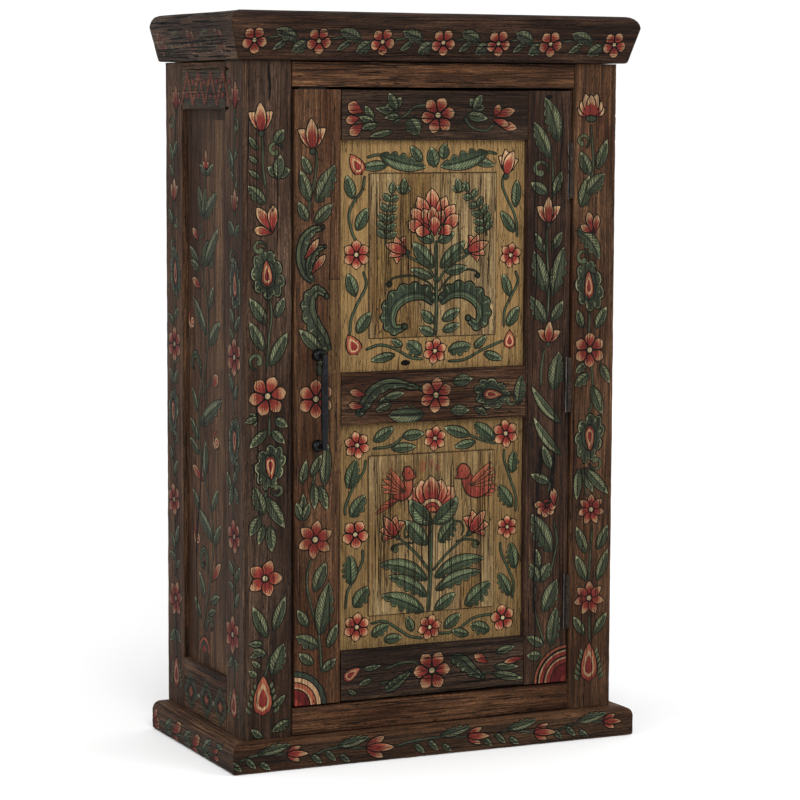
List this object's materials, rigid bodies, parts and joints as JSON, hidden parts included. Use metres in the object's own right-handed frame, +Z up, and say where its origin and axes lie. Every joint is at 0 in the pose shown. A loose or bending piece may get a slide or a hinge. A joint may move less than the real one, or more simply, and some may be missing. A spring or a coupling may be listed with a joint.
{
  "type": "kas cupboard",
  "caption": "Free-standing framed and panelled cupboard with a plinth, a flared cornice, painted floral decoration and a single hinged door over fixed shelves.",
  "frame": {"origin": "middle of the overall box at floor level", "axes": "+X to the right as seen from the front, +Y to the back, +Z up; the door and its pull face -Y"},
  "size_m": [0.734, 0.3944, 1.22],
  "materials": {
    "painted_frame_wood": "brown stained hardwood with painted vines and flowers",
    "bare_rail_wood": "open-grained, waxed",
    "painted_side_wood": "brown stained hardwood with painted vines",
    "cornice_wood": "weathered, with painted flowers",
    "plinth_wood": "weathered, with painted tulips",
    "painted_door_wood": "brown stained hardwood with painted vines",
    "dark_rail_wood": "dark stained with painted sprays",
    "painted_panel_wood": "ochre ground, cracked, with painted flowers",
    "plain_inner_wood": "sawn and oiled",
    "bronzed_hinge_iron": "bronzed",
    "black_forged_iron": "blackened, satin",
    "fastener_steel": "dull",
    "catch_plastic": "brown moulded",
    "magnet_steel": "ground"
  },
  "bodies": {
    "carcass": {"back_board_left": "plain_inner_wood", "back_board_middle": "plain_inner_wood", "back_board_right": "plain_inner_wood", "back_nails": "fastener_steel", "case_screws": "fastener_steel", "catch_housing": "catch_plastic", "catch_magnet": "magnet_steel", "cleat_floor_left": "plain_inner_wood", "cleat_floor_right": "plain_inner_wood", "cleat_lower_left": "plain_inner_wood", "cleat_lower_right": "plain_inner_wood", "cleat_upper_left": "plain_inner_wood", "cleat_upper_right": "plain_inner_wood", "cornice_back": "cornice_wood", "cornice_front": "cornice_wood", "cornice_left": "cornice_wood", "cornice_right": "cornice_wood", "floor_board": "plain_inner_wood", "front_rail_bottom": "bare_rail_wood", "front_rail_top": "bare_rail_wood", "front_stile_left": "painted_frame_wood", "front_stile_right": "painted_frame_wood", "hinge_frame_leaf_bottom": "bronzed_hinge_iron", "hinge_frame_leaf_middle": "bronzed_hinge_iron", "hinge_frame_leaf_top": "bronzed_hinge_iron", "hinge_pins": "bronzed_hinge_iron", "plinth_back": "plinth_wood", "plinth_front": "plinth_wood", "plinth_left": "plinth_wood", "plinth_right": "plinth_wood", "shelf_lower": "plain_inner_wood", "shelf_upper": "plain_inner_wood", "side_panel_left": "painted_side_wood", "side_panel_right": "painted_side_wood", "side_rail_bottom_left": "painted_side_wood", "side_rail_bottom_right": "painted_side_wood", "side_rail_top_left": "painted_side_wood", "side_rail_top_right": "painted_side_wood", "side_stile_front_left": "painted_side_wood", "side_stile_front_right": "painted_side_wood", "side_stile_rear_left": "painted_side_wood", "side_stile_rear_right": "painted_side_wood", "top_board": "plain_inner_wood"},
    "door": {"door_panel_lower": "painted_panel_wood", "door_panel_upper": "painted_panel_wood", "door_rail_bottom": "dark_rail_wood", "door_rail_middle": "dark_rail_wood", "door_rail_top": "dark_rail_wood", "door_screws": "fastener_steel", "door_stile_left": "painted_door_wood", "door_stile_right": "painted_door_wood", "hinge_door_leaf_bottom": "bronzed_hinge_iron", "hinge_door_leaf_middle": "bronzed_hinge_iron", "hinge_door_leaf_top": "bronzed_hinge_iron", "pull_foot_bottom": "black_forged_iron", "pull_foot_top": "black_forged_iron", "pull_grip": "black_forged_iron", "pull_screws": "fastener_steel", "strike_plate": "fastener_steel"}
  },
  "joints": [
    {"name": "door_hinge", "type": "hinge", "parent": "carcass", "child": "door", "pos_m": [0.2513, -0.156, 0], "axis": [0, 0, 1], "range_deg": [0, 170]}
  ]
}
